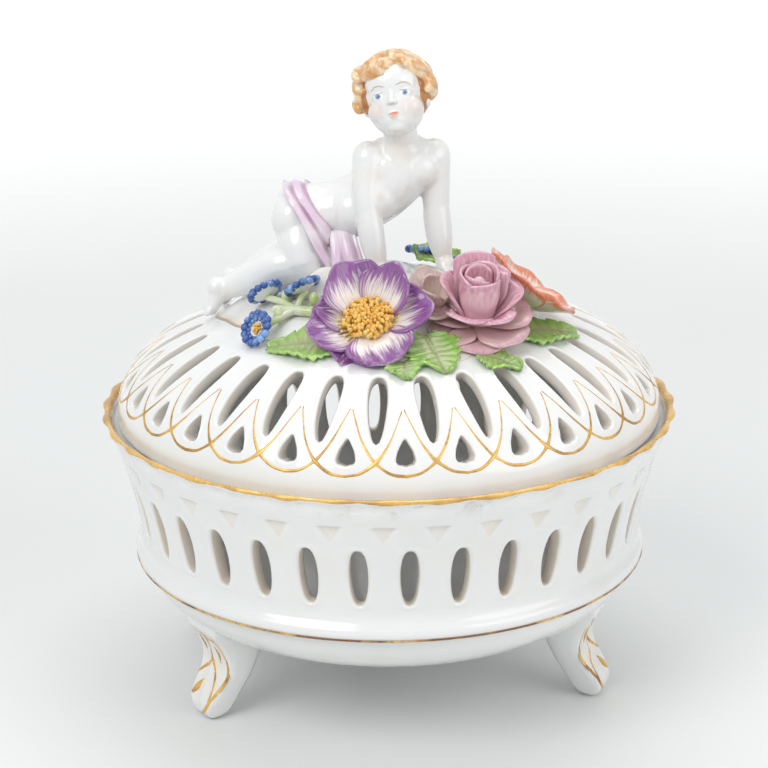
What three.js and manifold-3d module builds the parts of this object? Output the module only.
// Pierced porcelain bonbonniere: a footed bowl and a domed lid that carries a
// crawling putto among modelled flowers. Millimetres, +Z up. The origin is on the
// table under the centre of the bowl, and the front of the object faces -Y.
// Every modelled piece was formed by itself and luted on with slip, so each one
// is its own closed body with a hairline of clearance to what carries it.

import * as THREE from 'three';
import { mergeVertices } from 'three/addons/utils/BufferGeometryUtils.js';
import Module from 'manifold-3d';

const wasm = await Module();
wasm.setup();

// Driving dimensions of the bowl
const rimRadius = 85;
const rimHeight = 84.8;
const scallopCount = 36;
const scallopPhase = 0.3;
const scallopDepth = 0.9;
const lipLand = 2.2;
const bowlWall = 4.5;
const waistRadius = rimRadius - 10.9;
const waistHeight = 46.7;
const flareBowRadius = rimRadius - 9.2;
const flareBowHeight = 66;
const beadRadius = waistRadius + 1.9;
const beadHeight = 42;
const beadHalfHeight = 2;
const dishRadius = waistRadius - 1.6;
const dishTopHeight = 38;
const bowlBottomHeight = 15.5;
const bowlFloorThickness = 5;
const bowlSlotCount = 34;
const bowlSlotPhase = 4;
const bowlSlotWidth = 5.3;
const bowlSlotBottom = 50;
const bowlSlotLength = 17.7;

// Driving dimensions of the seat between the bowl and the lid
const ledgeDepth = 3.3;
const lidEdgeClearance = 1.1;
const lidEdgeRadius = rimRadius - 3.6 - lidEdgeClearance;
const lidRestWidth = 5.1;
const flangeRadius = lidEdgeRadius - lidRestWidth;
const flangeClearance = 0.7;
const flangeHeight = 4.8;
const flangeThickness = 3.6;
const restGap = 0.3;

// Driving dimensions of the lid
const lidEdgeThickness = 3.2;
const domeRise = 33.4;
const lidWall = 4;
const lidSlotCount = 30;
const lidSlotPhase = -2.8;
const lidSlotWidth = 5.7;
const lidSlotLowRadius = lidEdgeRadius - 5.5;
const lidSlotHighRadius = lidEdgeRadius - 26;
const tearWidth = 5.2;
const tearLowRadius = lidEdgeRadius - 1.8;
const tearHighRadius = lidEdgeRadius - 7.9;

// Driving dimensions of the feet
const footAngles = { foot_front_left: -55, foot_front_right: 68.5, foot_back: 186.8 };
const footKneeRadius = dishRadius - 5.3;
const footKneeHeight = 27.3;
const footAnkleRadius = dishRadius - 9.1;
const footAnkleHeight = 14;
const footToeRadius = dishRadius - 4.3;
const footToeHeight = 4.4;
const footSoleOuterRadius = dishRadius - 7;
const footSoleInnerRadius = dishRadius - 11.3;
const footHeelRadius = dishRadius - 22.5;
const footHeelHeight = 20.3;
const footTopWidth = 16.5;
const footToeWidth = 9.5;

// Driving dimensions of the mound, the figure and the flowers
const moundHeight = 3.2;
const moundRadius = 47;
const figureClearance = 0.35;
const headRadius = 10.4;
const anemoneRadius = 18.5;
const roseRadius = 14.5;
const poppyRadius = 16.5;
const budRadius = 9.5;
const petalThickness = 1.4;
const leafThickness = 1.2;
const forgetMeNotRadius = 5.2;

// Facets of the turned walls and of the small modelled pieces
const lobeSteps = 2;
const lidSteps = 60;
const limbSides = 12;
const lobeSides = 4;

// Colours read by eye from the glazed and painted surfaces
const colours = {
  glaze: 0xf2f1ec,
  skin: 0xf4eeea,
  hair: 0xdca565,
  drapery: 0xdcbcd6,
  anemone: 0x8d5da3,
  stamen: 0xe9a83c,
  rose: 0xcb93ae,
  poppy: 0xe08a5c,
  bud: 0xd8c3b8,
  leaf: 0x8fb56a,
  blue: 0x4a78b8,
};

const group = new THREE.Group();
const placed = [];

function radians(degrees) {
  return degrees * Math.PI / 180;
}

// A point at a radius and an angle that runs from the front towards +X
function around(radius, degrees, z) {
  const angle = radians(degrees);
  return new THREE.Vector3(radius * Math.sin(angle), -radius * Math.cos(angle), z);
}

function bare(geometry) {
  const plain = geometry.clone();
  plain.deleteAttribute('normal');
  plain.deleteAttribute('uv');
  return mergeVertices(plain, 1e-4);
}

function signedVolume(positions, triangles) {
  let total = 0;
  const a = new THREE.Vector3();
  const b = new THREE.Vector3();
  const c = new THREE.Vector3();
  for (let i = 0; i < triangles.length; i += 3) {
    a.fromArray(positions, 3 * triangles[i]);
    b.fromArray(positions, 3 * triangles[i + 1]);
    c.fromArray(positions, 3 * triangles[i + 2]);
    total += a.dot(b.cross(c)) / 6;
  }
  return total;
}

// A closed mesh as a solid, with its faces turned outward
function solidOf(geometry) {
  const merged = bare(geometry);
  const positions = Float32Array.from(merged.attributes.position.array);
  const kept = [];
  const index = merged.index.array;
  for (let i = 0; i < index.length; i += 3) {
    const [a, b, c] = [index[i], index[i + 1], index[i + 2]];
    if (a !== b && b !== c && c !== a) {
      kept.push(a, b, c);
    }
  }
  if (signedVolume(positions, kept) < 0) {
    kept.reverse();
  }
  const mesh = new wasm.Mesh({
    numProp: 3,
    vertProperties: positions,
    triVerts: Uint32Array.from(kept),
  });
  return new wasm.Manifold(mesh);
}

function geometryOf(solid) {
  const mesh = solid.getMesh();
  const geometry = new THREE.BufferGeometry();
  const positions = Float32Array.from(mesh.vertProperties);
  geometry.setAttribute('position', new THREE.BufferAttribute(positions, 3));
  geometry.setIndex(new THREE.BufferAttribute(Uint32Array.from(mesh.triVerts), 1));
  return geometry;
}

// The same closed surface moved outward by a clearance
function inflated(geometry, clearance) {
  const merged = bare(geometry);
  merged.computeVertexNormals();
  const position = merged.attributes.position;
  const normal = merged.attributes.normal;
  const sign = Math.sign(signedVolume(position.array, merged.index.array));
  for (let i = 0; i < position.count; i += 1) {
    position.setXYZ(
      i,
      position.getX(i) + sign * clearance * normal.getX(i),
      position.getY(i) + sign * clearance * normal.getY(i),
      position.getZ(i) + sign * clearance * normal.getZ(i),
    );
  }
  return merged;
}

function largestBody(solid) {
  const bodies = solid.decompose();
  bodies.sort((one, other) => other.volume() - one.volume());
  return bodies[0];
}

function addMesh(name, geometry, colour, roughness) {
  const material = new THREE.MeshStandardMaterial({ color: colour, roughness, metalness: 0 });
  const mesh = new THREE.Mesh(geometry, material);
  mesh.name = name;
  group.add(mesh);
}

// Adds a piece after cutting away whatever the pieces that carry it already fill
function addPiece(name, geometry, colour) {
  let solid = solidOf(geometry);
  geometry.computeBoundingBox();
  for (const carrier of placed) {
    if (carrier.box.intersectsBox(geometry.boundingBox)) {
      solid = solid.subtract(carrier.grown);
    }
  }
  const body = largestBody(solid);
  const fitted = geometryOf(body);
  const grown = solidOf(inflated(geometry, figureClearance));
  const box = geometry.boundingBox.clone().expandByScalar(figureClearance);
  placed.push({ grown, box });
  addMesh(name, fitted, colour, 0.2);
}

// A closed skin over rings of points, with a pole point at each end
function skinned(rings, startPole, endPole) {
  const sides = rings[0].length;
  const points = [startPole, ...rings.flat(), endPole];
  const last = points.length - 1;
  const index = [];
  for (let side = 0; side < sides; side += 1) {
    const next = (side + 1) % sides;
    index.push(0, 1 + next, 1 + side);
    index.push(last, last - sides + side, last - sides + next);
  }
  for (let ring = 0; ring < rings.length - 1; ring += 1) {
    const low = 1 + ring * sides;
    const high = low + sides;
    for (let side = 0; side < sides; side += 1) {
      const next = (side + 1) % sides;
      index.push(low + side, low + next, high + next);
      index.push(low + side, high + next, high + side);
    }
  }
  const geometry = new THREE.BufferGeometry().setFromPoints(points);
  geometry.setIndex(index);
  return geometry;
}

// A limb whose thickness follows a list of radii along a smooth spine
function limb(spine, radii, sides = limbSides, flatten = 1, steps = 9) {
  const curve = new THREE.CatmullRomCurve3(spine.map((point) => new THREE.Vector3(...point)));
  const profile = new THREE.SplineCurve(
    radii.map((radius, i) => new THREE.Vector2(i / (radii.length - 1), radius)),
  );
  const frames = curve.computeFrenetFrames(steps, false);
  const rings = [];
  for (let step = 0; step <= steps; step += 1) {
    const share = step / steps;
    const centre = curve.getPointAt(share);
    const radius = profile.getPoint(share).y;
    const ring = [];
    for (let side = 0; side < sides; side += 1) {
      const angle = 2 * Math.PI * side / sides;
      ring.push(centre.clone()
        .addScaledVector(frames.normals[step], radius * Math.cos(angle))
        .addScaledVector(frames.binormals[step], flatten * radius * Math.sin(angle)));
    }
    rings.push(ring);
  }
  const startPole = curve.getPointAt(0).addScaledVector(frames.tangents[0], -0.6 * radii[0]);
  const endRadius = radii[radii.length - 1];
  const endPole = curve.getPointAt(1).addScaledVector(frames.tangents[steps], 0.6 * endRadius);
  return skinned(rings, startPole, endPole);
}

function turned(profile, steps, startDegrees = 0) {
  const points = profile.map(([radius, z]) => new THREE.Vector2(radius, z));
  const lathe = new THREE.LatheGeometry(points, steps, radians(startDegrees), 2 * Math.PI);
  return lathe.rotateX(Math.PI / 2);
}

function ellipseArc(radius, centreZ, rise, from, to, steps) {
  const arc = [];
  for (let step = 0; step <= steps; step += 1) {
    const angle = radians(from + (to - from) * step / steps);
    arc.push([radius * Math.cos(angle), centreZ + rise * Math.sin(angle)]);
  }
  return arc;
}

// Heights and radii that the seat shares
const ledgeHeight = rimHeight - ledgeDepth;
const recessRadius = lidEdgeRadius + lidEdgeClearance;
const ledgeInnerRadius = flangeRadius + flangeClearance;
const lidSeatHeight = ledgeHeight + restGap;
const lidEdgeHeight = lidSeatHeight + lidEdgeThickness;
const tearPhase = lidSlotPhase + 180 / lidSlotCount;

function flare(share) {
  const curve = new THREE.QuadraticBezierCurve(
    new THREE.Vector2(waistRadius, waistHeight),
    new THREE.Vector2(flareBowRadius, flareBowHeight),
    new THREE.Vector2(rimRadius, rimHeight),
  );
  return curve.getPoint(share);
}

function bowlProfile() {
  const outerSteps = 5;
  const outer = [];
  for (let step = 0; step <= outerSteps; step += 1) {
    const point = flare(step / outerSteps);
    outer.push([point.x, point.y]);
  }
  const inner = outer
    .filter(([, z]) => z < ledgeHeight - bowlWall)
    .map(([radius, z]) => [Math.min(radius - bowlWall, ledgeInnerRadius), z])
    .slice(1)
    .reverse();
  const floorTop = bowlBottomHeight + bowlFloorThickness;
  const innerTurn = waistRadius - bowlWall;
  const dish = ellipseArc(dishRadius, dishTopHeight, dishTopHeight - bowlBottomHeight, -90, 0, 4);
  dish[0][0] = 0;
  const well = ellipseArc(innerTurn, waistHeight, waistHeight - floorTop, 0, -90, 4);
  well[well.length - 1][0] = 0;
  return [
    ...dish,
    [beadRadius, beadHeight - 0.5 * beadHalfHeight],
    [beadRadius, beadHeight + 0.5 * beadHalfHeight],
    ...outer,
    [rimRadius - lipLand, rimHeight],
    [recessRadius, ledgeHeight],
    [ledgeInnerRadius, ledgeHeight],
    [ledgeInnerRadius, ledgeHeight - bowlWall],
    ...inner,
    ...well,
  ];
}

// Every second meridian of the lip is drawn in, which leaves one lobe per slot
function scallopLip(geometry) {
  const position = geometry.attributes.position;
  for (let i = 0; i < position.count; i += 1) {
    const radius = Math.hypot(position.getX(i), position.getY(i));
    const angle = Math.atan2(position.getX(i), -position.getY(i));
    if (radius > recessRadius + 1 && position.getZ(i) > ledgeHeight) {
      const wave = Math.cos(scallopCount * (angle - radians(scallopPhase)));
      const shrink = 1 - 0.5 * scallopDepth * (1 - wave) / radius;
      position.setX(i, position.getX(i) * shrink);
      position.setY(i, position.getY(i) * shrink);
    }
  }
  return geometry;
}

// A long opening with round ends, extruded along the outward direction
function slotBlade(width, length, depth, tipShare) {
  const half = width / 2;
  const shape = new THREE.Shape();
  const tip = tipShare * half;
  const taper = Math.min(1.8 * half, length - 1.1 * half);
  shape.moveTo(-half, -length / 2 + taper);
  shape.lineTo(-tip, -length / 2);
  shape.lineTo(tip, -length / 2);
  shape.lineTo(half, -length / 2 + taper);
  shape.lineTo(half, length / 2 - 0.7 * half);
  shape.lineTo(0.45 * half, length / 2);
  shape.lineTo(-0.45 * half, length / 2);
  shape.lineTo(-half, length / 2 - 0.7 * half);
  const blade = new THREE.ExtrudeGeometry(shape, { depth, bevelEnabled: false });
  return blade.translate(0, 0, -depth / 2);
}

// Turns a blade so that its local +Y climbs and its local +Z points out at an angle
function turnOut(geometry, degrees, radius, z, tiltDegrees) {
  geometry.rotateX(Math.PI / 2 - radians(tiltDegrees));
  geometry.translate(0, -radius, z);
  geometry.rotateZ(radians(degrees));
  return geometry;
}

function buildBowl() {
  const steps = scallopCount * lobeSteps;
  const body = scallopLip(turned(bowlProfile(), steps, scallopPhase));
  let solid = solidOf(body);
  const slotMiddle = bowlSlotBottom + bowlSlotLength / 2;
  const wallRadius = flareBowRadius;
  for (let slot = 0; slot < bowlSlotCount; slot += 1) {
    const blade = slotBlade(bowlSlotWidth, bowlSlotLength, 6 * bowlWall, 0.4);
    const angle = bowlSlotPhase + slot * 360 / bowlSlotCount;
    solid = solid.subtract(solidOf(turnOut(blade, angle, wallRadius, slotMiddle, 0)));
  }
  const grown = solidOf(inflated(body, restGap));
  addMesh('bowl', geometryOf(solid), colours.glaze, 0.15);
  return grown;
}

function domeHeight(radius, shrink = 0) {
  const across = Math.min(radius / (lidEdgeRadius - shrink), 1);
  return lidEdgeHeight + (domeRise - shrink) * Math.sqrt(1 - across * across);
}

function lidProfile() {
  const outer = ellipseArc(lidEdgeRadius, lidEdgeHeight, domeRise, 0, 90, 6);
  outer[outer.length - 1][0] = 0;
  const flangeInner = flangeRadius - flangeThickness;
  const flangeBottom = lidSeatHeight - flangeHeight;
  const innerRadius = lidEdgeRadius - lidWall;
  const springAngle = THREE.MathUtils.radToDeg(Math.acos(flangeInner / innerRadius));
  const inner = ellipseArc(innerRadius, lidEdgeHeight, domeRise - lidWall, 90, springAngle, 5);
  inner[0][0] = 0;
  return [
    ...inner,
    [flangeInner, flangeBottom],
    [flangeRadius, flangeBottom],
    [flangeRadius, lidSeatHeight],
    [lidEdgeRadius - 0.4, lidSeatHeight],
    ...outer,
  ];
}

// Cuts one ring of openings that climb the dome between two radii
function pierceDome(solid, phase, width, lowRadius, highRadius, tipShare, upsideDown) {
  const low = new THREE.Vector2(lowRadius, domeHeight(lowRadius));
  const high = new THREE.Vector2(highRadius, domeHeight(highRadius));
  const length = low.distanceTo(high);
  const middle = low.clone().add(high).multiplyScalar(0.5);
  const tilt = THREE.MathUtils.radToDeg(Math.atan2(low.x - high.x, high.y - low.y));
  let pierced = solid;
  for (let slot = 0; slot < lidSlotCount; slot += 1) {
    const blade = slotBlade(width, length, 4 * lidWall, tipShare);
    if (upsideDown) {
      blade.rotateZ(Math.PI);
    }
    const angle = phase + slot * 360 / lidSlotCount;
    pierced = pierced.subtract(solidOf(turnOut(blade, angle, middle.x, middle.y, tilt)));
  }
  return pierced;
}

function buildLid() {
  const body = turned(lidProfile(), lidSteps, lidSlotPhase - 180 / lidSteps);
  let solid = solidOf(body);
  solid = pierceDome(solid, lidSlotPhase, lidSlotWidth, lidSlotLowRadius, lidSlotHighRadius, 0.3, false);
  solid = pierceDome(solid, tearPhase, tearWidth, tearLowRadius, tearHighRadius, 0.3, true);
  addMesh('lid', geometryOf(solid), colours.glaze, 0.15);
  body.computeBoundingBox();
  const grown = solidOf(inflated(body, figureClearance));
  placed.push({ grown, box: body.boundingBox.clone().expandByScalar(figureClearance) });
}

// A leaf-scroll foot: an S curve in the radial plane, wide at the knee, narrow at the toe
function footGeometry(degrees) {
  const outline = new THREE.Shape();
  const biteDepth = 2;
  const dishRise = dishTopHeight - bowlBottomHeight;
  outline.moveTo(footSoleInnerRadius, 0);
  outline.lineTo(footSoleOuterRadius, 0);
  outline.quadraticCurveTo(footToeRadius, 1, footToeRadius, footToeHeight);
  outline.quadraticCurveTo(footToeRadius - 0.4, footToeHeight + 4, footAnkleRadius, footAnkleHeight);
  outline.bezierCurveTo(
    footAnkleRadius - 0.8,
    footAnkleHeight + 5,
    footKneeRadius - 1.4,
    footKneeHeight - 4,
    footKneeRadius,
    footKneeHeight,
  );
  for (const share of [0.9, 0.84, 0.77, 0.7]) {
    const radius = share * dishRadius;
    const underside = dishTopHeight - dishRise * Math.sqrt(1 - share * share);
    outline.lineTo(radius, underside + biteDepth);
  }
  outline.lineTo(footHeelRadius, footHeelHeight);
  outline.quadraticCurveTo(footSoleInnerRadius - 4.5, 0.4 * footHeelHeight, footSoleInnerRadius, 0);
  const blade = new THREE.ExtrudeGeometry(outline, {
    depth: 1,
    steps: 4,
    bevelEnabled: false,
    curveSegments: 5,
  });
  const position = blade.attributes.position;
  for (let i = 0; i < position.count; i += 1) {
    const rise = THREE.MathUtils.clamp(position.getY(i) / footAnkleHeight, 0, 1);
    const width = THREE.MathUtils.lerp(footToeWidth, footTopWidth, rise * rise * (3 - 2 * rise));
    const across = position.getZ(i) - 0.5;
    position.setZ(i, across * width);
  }
  blade.rotateX(Math.PI / 2);
  blade.rotateZ(radians(degrees - 90));
  return blade;
}

function buildFeet(bowlGrown) {
  for (const [name, degrees] of Object.entries(footAngles)) {
    const geometry = footGeometry(degrees);
    const solid = solidOf(geometry).subtract(bowlGrown);
    addMesh(name, geometryOf(largestBody(solid)), colours.glaze, 0.15);
  }
}

// The ground is a low cap with an uneven edge, a little higher under the figure
function moundLift(x, y) {
  const ridge = Math.exp(-((x + 6) ** 2) / 900 - ((y - 2) ** 2) / 420);
  return moundHeight * (0.55 + 1.9 * ridge);
}

function groundHeight(x, y) {
  const radius = Math.hypot(x, y);
  const fade = THREE.MathUtils.smoothstep(moundRadius - radius, 0, 9);
  return domeHeight(radius) + fade * moundLift(x, y);
}

function buildMound() {
  const sides = 28;
  const rings = [];
  const edge = (angle) => moundRadius + 2.4 * Math.sin(3 * angle + 0.6) + 1.4 * Math.sin(7 * angle);
  const under = 1.5;
  for (const share of [0.5, 0.95]) {
    const ring = [];
    for (let side = 0; side < sides; side += 1) {
      const angle = 2 * Math.PI * side / sides;
      const radius = share * edge(angle);
      ring.push(around(radius, THREE.MathUtils.radToDeg(angle), domeHeight(radius) - under));
    }
    rings.push(ring);
  }
  for (const share of [1, 0.92, 0.75, 0.5, 0.25]) {
    const ring = [];
    for (let side = 0; side < sides; side += 1) {
      const angle = 2 * Math.PI * side / sides;
      const point = around(share * edge(angle), THREE.MathUtils.radToDeg(angle), 0);
      const rise = share > 0.99 ? 0.5 : THREE.MathUtils.smoothstep(1 - share, 0, 0.2);
      const radius = Math.hypot(point.x, point.y);
      point.z = domeHeight(radius) + (share > 0.99 ? rise : rise * moundLift(point.x, point.y));
      ring.push(point);
    }
    rings.push(ring);
  }
  const apex = lidEdgeHeight + domeRise;
  const startPole = new THREE.Vector3(0, 0, apex - under);
  const endPole = new THREE.Vector3(0, 0, apex + moundLift(0, 0));
  addPiece('mound', skinned(rings, startPole, endPole), colours.glaze);
}

// Joints of the figure, measured from the top of the lid in its middle
const figureBase = lidEdgeHeight + domeRise;

function atFigure(x, y, height) {
  return [x, y, figureBase + height];
}

function buildFigure() {
  const torso = limb(
    [
      atFigure(-24, 4, 22.5),
      atFigure(-14, 3.5, 24),
      atFigure(-3, 2, 29),
      atFigure(4, 0.5, 36.5),
      atFigure(4.5, -1, 45.5),
    ],
    [8.5, 9.4, 9.6, 9, 4.2],
    14,
    1,
    9,
  );
  addPiece('putto_torso', torso, colours.skin);

  const head = new THREE.SphereGeometry(headRadius, 16, 12);
  head.scale(0.92, 0.98, 1.12);
  head.rotateY(radians(-13));
  head.translate(...atFigure(2.6, -4.5, 57.6));
  addPiece('putto_head', head, colours.skin);

  const hair = new THREE.SphereGeometry(headRadius + 2.2, 16, 11);
  hair.scale(0.96, 0.98, 1.02);
  const curls = hair.attributes.position;
  for (let i = 0; i < curls.count; i += 1) {
    const [x, y, z] = [curls.getX(i), curls.getY(i), curls.getZ(i)];
    const bump = 1 + 0.035 * Math.sin(0.9 * x + 1) * Math.sin(0.9 * z);
    const face = y < -2 && z < 5.5;
    curls.setXYZ(i, x * bump, face ? y * 0.45 : y * bump, z * bump);
  }
  hair.rotateY(radians(-13));
  hair.translate(...atFigure(2.7, -1.2, 59.6));
  addPiece('putto_hair', hair, colours.hair);

  const armRight = limb(
    [atFigure(-5.6, -3.6, 40), atFigure(-5.8, -7.5, 28), atFigure(-3.4, -9.8, 16), atFigure(-1, -13, 11.5)],
    [4.4, 3.9, 3.3, 3],
    limbSides,
    1,
    9,
  );
  addPiece('putto_arm_right', armRight, colours.skin);

  const armLeft = limb(
    [atFigure(13.6, 2, 38.5), atFigure(14.8, 0.5, 26), atFigure(16.2, -2.2, 15), atFigure(18.5, -5, 10.5)],
    [4.4, 3.9, 3.3, 3],
    limbSides,
    1,
    9,
  );
  addPiece('putto_arm_left', armLeft, colours.skin);

  const thighRight = limb([atFigure(-24, -1.5, 21), atFigure(-24.5, -5.5, 11.5)], [6, 6.4], limbSides, 1, 3);
  const shinRight = limb(
    [atFigure(-22.5, -5.5, 13), atFigure(-33, -3.5, 8), atFigure(-44, -1, 2.5), atFigure(-50.5, 0, -4)],
    [5.8, 5.6, 4.4, 3.4],
    limbSides,
    1,
    8,
  );
  addPiece('putto_leg_right', joined([thighRight, shinRight]), colours.skin);

  const thighLeft = limb([atFigure(-23, 11, 21), atFigure(-22.5, 15, 10.5)], [6, 6.4], limbSides, 1, 3);
  const shinLeft = limb(
    [atFigure(-20.5, 15, 12), atFigure(-31, 15, 7), atFigure(-41, 13, 1.5), atFigure(-47, 12, -5)],
    [5.8, 5.4, 4.2, 3.2],
    limbSides,
    1,
    8,
  );
  addPiece('putto_leg_left', joined([thighLeft, shinLeft]), colours.skin);

  const drapery = limb(
    [atFigure(-25.5, 3, 27), atFigure(-23, 2, 21), atFigure(-16.5, 0.5, 15), atFigure(-9.5, -1.5, 10.5)],
    [7.6, 10.2, 9.6, 6.6],
    14,
    1.05,
    6,
  );
  addPiece('drapery', drapery, colours.drapery);
}

// Radius of a lobed flower as a share of its full radius
function lobe(angle, lobes, notch) {
  return 1 - notch + notch * Math.abs(Math.cos(0.5 * lobes * angle)) ** 0.6;
}

// An open flower: a lobed cup with a thin wall, facing its local +Z
function flowerCup(radius, depth, lobes, notch, thickness) {
  const sides = lobes * lobeSides;
  const ringAt = (share, height) => {
    const ring = [];
    for (let side = 0; side < sides; side += 1) {
      const angle = 2 * Math.PI * side / sides;
      const reach = share * radius * (share > 0.5 ? lobe(angle, lobes, notch * share) : 1);
      ring.push(new THREE.Vector3(reach * Math.cos(angle), reach * Math.sin(angle), height));
    }
    return ring;
  };
  const outside = [0.4, 0.75, 1].map((share) => ringAt(share, depth * share * share));
  const inside = [0.96, 0.6].map((share) => ringAt(share, thickness + depth * share * share));
  return skinned(
    [...outside, ...inside],
    new THREE.Vector3(0, 0, 0),
    new THREE.Vector3(0, 0, thickness),
  );
}

// Places a flower with its back on a point and its face along a direction
function facing(geometry, position, direction, spinDegrees = 0) {
  geometry.rotateZ(radians(spinDegrees));
  const turn = new THREE.Quaternion().setFromUnitVectors(
    new THREE.Vector3(0, 0, 1),
    new THREE.Vector3(...direction).normalize(),
  );
  geometry.applyQuaternion(turn);
  geometry.translate(...position);
  return geometry;
}

function onGround(x, y, lift) {
  return [x, y, groundHeight(x, y) + lift];
}

function joined(geometries) {
  let solid = solidOf(geometries[0]);
  for (const geometry of geometries.slice(1)) {
    solid = solid.add(solidOf(geometry));
  }
  return geometryOf(solid);
}

const anemonePlace = [-5.2, -35, 1];
const anemoneFacing = [-0.08, -0.62, 0.78];
const rosePlace = [25.5, -29, 1];
const roseFacing = [0.06, -0.66, 0.75];
const poppyPlace = [35.5, -12, 2.2];
const poppyFacing = [0.6, 0.32, 0.74];
const budPlace = [12, -24, 1];
const budFacing = [0.1, -0.45, 0.89];

function buildFlowers() {
  const anemoneSpot = onGround(...anemonePlace);
  const petals = flowerCup(anemoneRadius, 5.5, 6, 0.16, petalThickness);
  addPiece('anemone_petals', facing(petals, anemoneSpot, anemoneFacing, 20), colours.anemone);

  const stamens = new THREE.SphereGeometry(0.4 * anemoneRadius, 12, 7);
  stamens.scale(1, 1, 0.62);
  stamens.translate(0, 0, petalThickness + 2.4);
  addPiece('anemone_stamens', facing(stamens, anemoneSpot, anemoneFacing), colours.stamen);

  const roseSpot = onGround(...rosePlace);
  const roseOuter = flowerCup(roseRadius, 5, 5, 0.14, petalThickness);
  const roseMiddle = flowerCup(0.72 * roseRadius, 11, 4, 0.16, petalThickness).rotateZ(0.5);
  const roseBud = new THREE.SphereGeometry(0.4 * roseRadius, 10, 7);
  roseBud.scale(1, 1, 1.5);
  roseBud.translate(0, 0, 0.55 * roseRadius);
  const rose = joined([roseOuter, roseMiddle, roseBud]);
  addPiece('rose', facing(rose, roseSpot, roseFacing, -54), colours.rose);

  const poppySpot = onGround(...poppyPlace);
  const poppyPetals = flowerCup(poppyRadius, 4, 5, 0.2, petalThickness);
  addPiece('poppy_petals', facing(poppyPetals, poppySpot, poppyFacing, 10), colours.poppy);

  const heart = new THREE.SphereGeometry(0.28 * poppyRadius, 10, 6);
  heart.scale(1, 1, 0.6);
  heart.translate(0, 0, petalThickness + 1.6);
  addPiece('poppy_heart', facing(heart, poppySpot, poppyFacing), colours.stamen);

  const bud = flowerCup(budRadius, 4.5, 4, 0.12, petalThickness);
  addPiece('bud_flower', facing(bud, onGround(...budPlace), budFacing, 15), colours.bud);
}

// A serrated leaf that lies on the ground from its stalk to its tip
function leafGeometry(stalk, tip, halfWidth, lift, curl) {
  const stations = 9;
  const along = new THREE.Vector2(tip[0] - stalk[0], tip[1] - stalk[1]);
  const across = new THREE.Vector2(-along.y, along.x).normalize();
  const rings = [];
  const pointAt = (share, offset, raise) => {
    const x = stalk[0] + share * along.x + offset * across.x;
    const y = stalk[1] + share * along.y + offset * across.y;
    const edgeLift = curl * (offset / halfWidth) ** 2;
    return new THREE.Vector3(x, y, groundHeight(x, y) + lift + edgeLift + raise);
  };
  for (let station = 0; station <= stations; station += 1) {
    const share = 0.04 + 0.92 * station / stations;
    const tooth = station % 2 === 0 ? 1 : 0.84;
    const width = halfWidth * tooth * Math.sin(Math.PI * share ** 0.8) ** 0.7;
    rings.push([
      pointAt(share, -width, 0.5 * leafThickness),
      pointAt(share, -0.5 * width, 0),
      pointAt(share, 0, 0),
      pointAt(share, 0.5 * width, 0),
      pointAt(share, width, 0.5 * leafThickness),
      pointAt(share, 0.5 * width, leafThickness),
      pointAt(share, 0, leafThickness),
      pointAt(share, -0.5 * width, leafThickness),
    ]);
  }
  return skinned(rings, pointAt(0, 0, 0.5 * leafThickness), pointAt(1, 0, 0.5 * leafThickness));
}

const leaves = {
  leaf_left: { stalk: [-13, -36], tip: [-34, -45], halfWidth: 8.5 },
  leaf_centre_left: { stalk: [2, -40], tip: [7, -55], halfWidth: 6 },
  leaf_centre_right: { stalk: [11, -37], tip: [19, -53], halfWidth: 8 },
  leaf_low: { stalk: [25, -36], tip: [36, -47], halfWidth: 5.5 },
  leaf_right: { stalk: [36, -22], tip: [55, -22], halfWidth: 7 },
  leaf_back: { stalk: [22, 14], tip: [8, 9], halfWidth: 5 },
};

function buildLeaves() {
  for (const [name, leaf] of Object.entries(leaves)) {
    const geometry = leafGeometry(leaf.stalk, leaf.tip, leaf.halfWidth, 0.6, 0.8);
    addPiece(name, geometry, colours.leaf);
  }
}

const forgetMeNots = {
  forget_me_not_1: { spot: [-35, -14, 3.5], facing: [-0.3, -0.25, 0.92] },
  forget_me_not_2: { spot: [-24, -19, 4.5], facing: [-0.4, 0.1, 0.9] },
  forget_me_not_3: { spot: [-35, -30, 1.5], facing: [-0.45, -0.8, 0.4] },
  forget_me_not_4: { spot: [10.5, 13, 2.2], facing: [0.1, 0.3, 0.95] },
  forget_me_not_5: { spot: [24, 12, 1.4], facing: [0.2, 0.3, 0.93] },
};

function buildForgetMeNots() {
  for (const [name, flower] of Object.entries(forgetMeNots)) {
    const disc = flowerCup(forgetMeNotRadius, 0.8, 5, 0.12, 1.8);
    addPiece(name, facing(disc, onGround(...flower.spot), flower.facing), colours.blue);
  }
}

function buildStems() {
  const spots = [onGround(-17, -27, 1.6), onGround(-25, -24, 1.9), onGround(-32, -20, 1.7)];
  const main = limb(spots, [1.9, 1.7, 1.5], 6, 1, 4);
  const twigs = Object.values(forgetMeNots).slice(0, 3).map((flower) => {
    const top = onGround(...flower.spot);
    const foot = onGround(-26, -23, 1.9);
    const between = [0.5 * (top[0] + foot[0]), 0.5 * (top[1] + foot[1]), 0.5 * (top[2] + foot[2]) + 0.4];
    return limb([foot, between, top], [1.3, 1.2, 1.2], 6, 1, 3);
  });
  addPiece('stems', joined([main, ...twigs]), colours.leaf);
}

const bowlGrown = buildBowl();
buildFeet(bowlGrown);
buildLid();
buildMound();
buildFigure();
buildFlowers();
buildLeaves();
buildForgetMeNots();
buildStems();

export default group;
